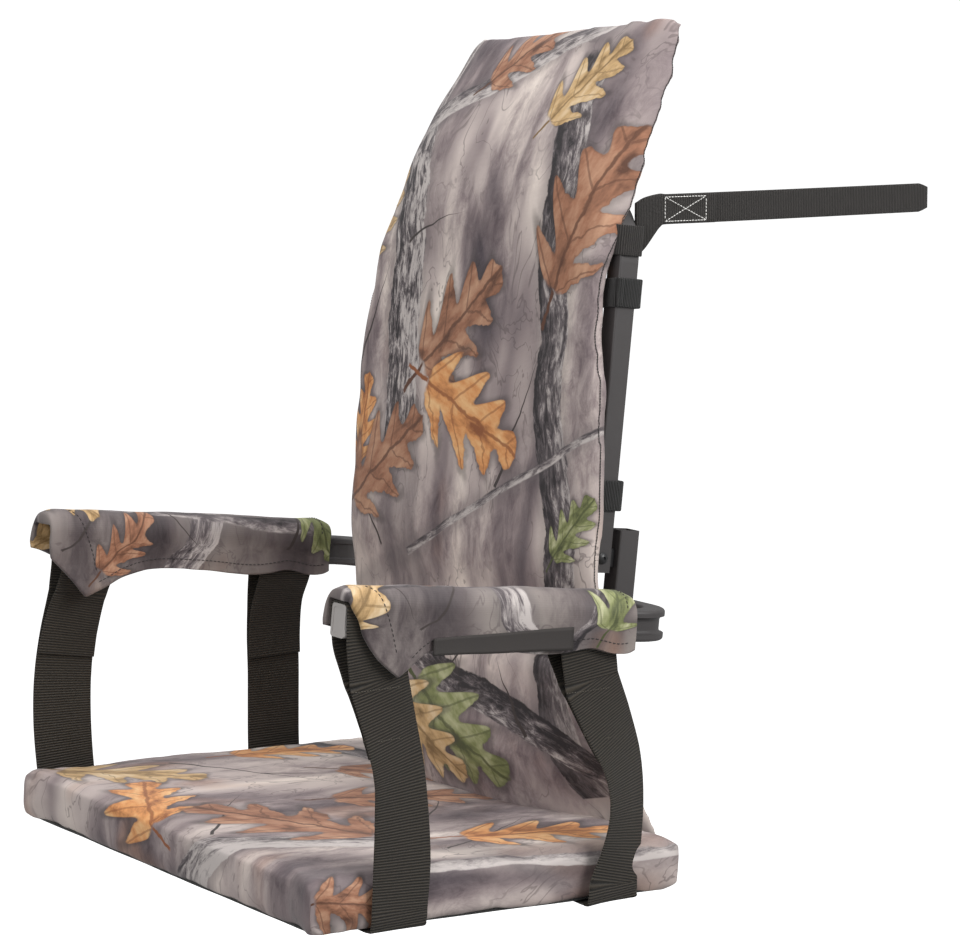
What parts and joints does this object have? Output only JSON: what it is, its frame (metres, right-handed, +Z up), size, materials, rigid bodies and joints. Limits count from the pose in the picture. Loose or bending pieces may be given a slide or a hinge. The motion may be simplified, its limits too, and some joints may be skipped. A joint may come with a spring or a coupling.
{
  "type": "climbing tree stand seat",
  "caption": "Hanging seat section of a climbing tree stand: U-shaped arm rail, folding padded back hoop, cushion slung on webbing, arm pads and a tree strap.",
  "frame": {"origin": "middle of the rear bar of the arm rail, on the face that bears on the tree", "axes": "+Z up as the seat hangs in use, the sitter faces -Y, +X is the sitter's left"},
  "size_m": [0.5182, 0.6943, 0.7051],
  "materials": {
    "powder_coat": "fine-textured matte powder coat, dark grey",
    "cap_plastic": "moulded grey plastic",
    "nylon": "black nylon",
    "black_steel": "black oxide steel",
    "zinc_steel": "zinc plated steel",
    "camo_fabric": "woven polyester printed with leaves, twigs and bark",
    "foam": "open-cell foam",
    "backing_fabric": "black woven backing",
    "seat_webbing": "heavy ribbed webbing",
    "hook_tape": "hook and loop tape",
    "strap_webbing": "woven webbing",
    "spring_steel": "bright spring wire"
  },
  "bodies": {
    "frame": {"arm_rail": "powder_coat", "end_caps": "cap_plastic", "socket_tubes": "powder_coat", "pivot_lugs": "powder_coat", "pivot_bushes": "nylon", "pivot_bolts": "black_steel", "pivot_nuts": "zinc_steel", "front_seat_strap": "seat_webbing", "rear_seat_strap": "seat_webbing", "lumbar_cover": "camo_fabric", "lumbar_foam": "foam", "lumbar_panel": "backing_fabric", "arm_pad_left": "camo_fabric", "arm_pad_right": "camo_fabric", "arm_foam_left": "foam", "arm_foam_right": "foam", "arm_strips": "hook_tape"},
    "back": {"back_hoop": "powder_coat", "back_pad_cover": "camo_fabric", "back_pad_foam": "foam", "back_pad_panel": "backing_fabric", "upper_collars": "hook_tape", "lower_collars": "hook_tape", "tree_strap_loop": "strap_webbing", "tree_strap": "strap_webbing", "buckle_strap": "strap_webbing", "buckle_frame": "zinc_steel", "buckle_pin": "zinc_steel", "buckle_spring": "spring_steel"},
    "seat": {"seat_cover": "camo_fabric", "seat_foam": "foam", "seat_base_panel": "backing_fabric"},
    "cam": {"buckle_cam": "zinc_steel"}
  },
  "joints": [
    {"name": "back_fold", "type": "hinge", "parent": "frame", "child": "back", "pos_m": [0, -0.03082, 0.04962], "axis": [1, 0, 0], "range_deg": [0, 90]},
    {"name": "seat_lift", "type": "slide", "parent": "frame", "child": "seat", "axis": [0, 0, 1], "range_m": [0, 0.12], "deforming": ["front_seat_strap", "rear_seat_strap", "lumbar_cover", "lumbar_foam", "lumbar_panel"]},
    {"name": "cam_lever", "type": "hinge", "parent": "back", "child": "cam", "pos_m": [-0.1565, 0.06897, 0.31009], "axis": [0, 0, -1], "range_deg": [0, 50], "stiffness_Nm_per_rad": 0.05, "springref_deg": -17.19}
  ]
}
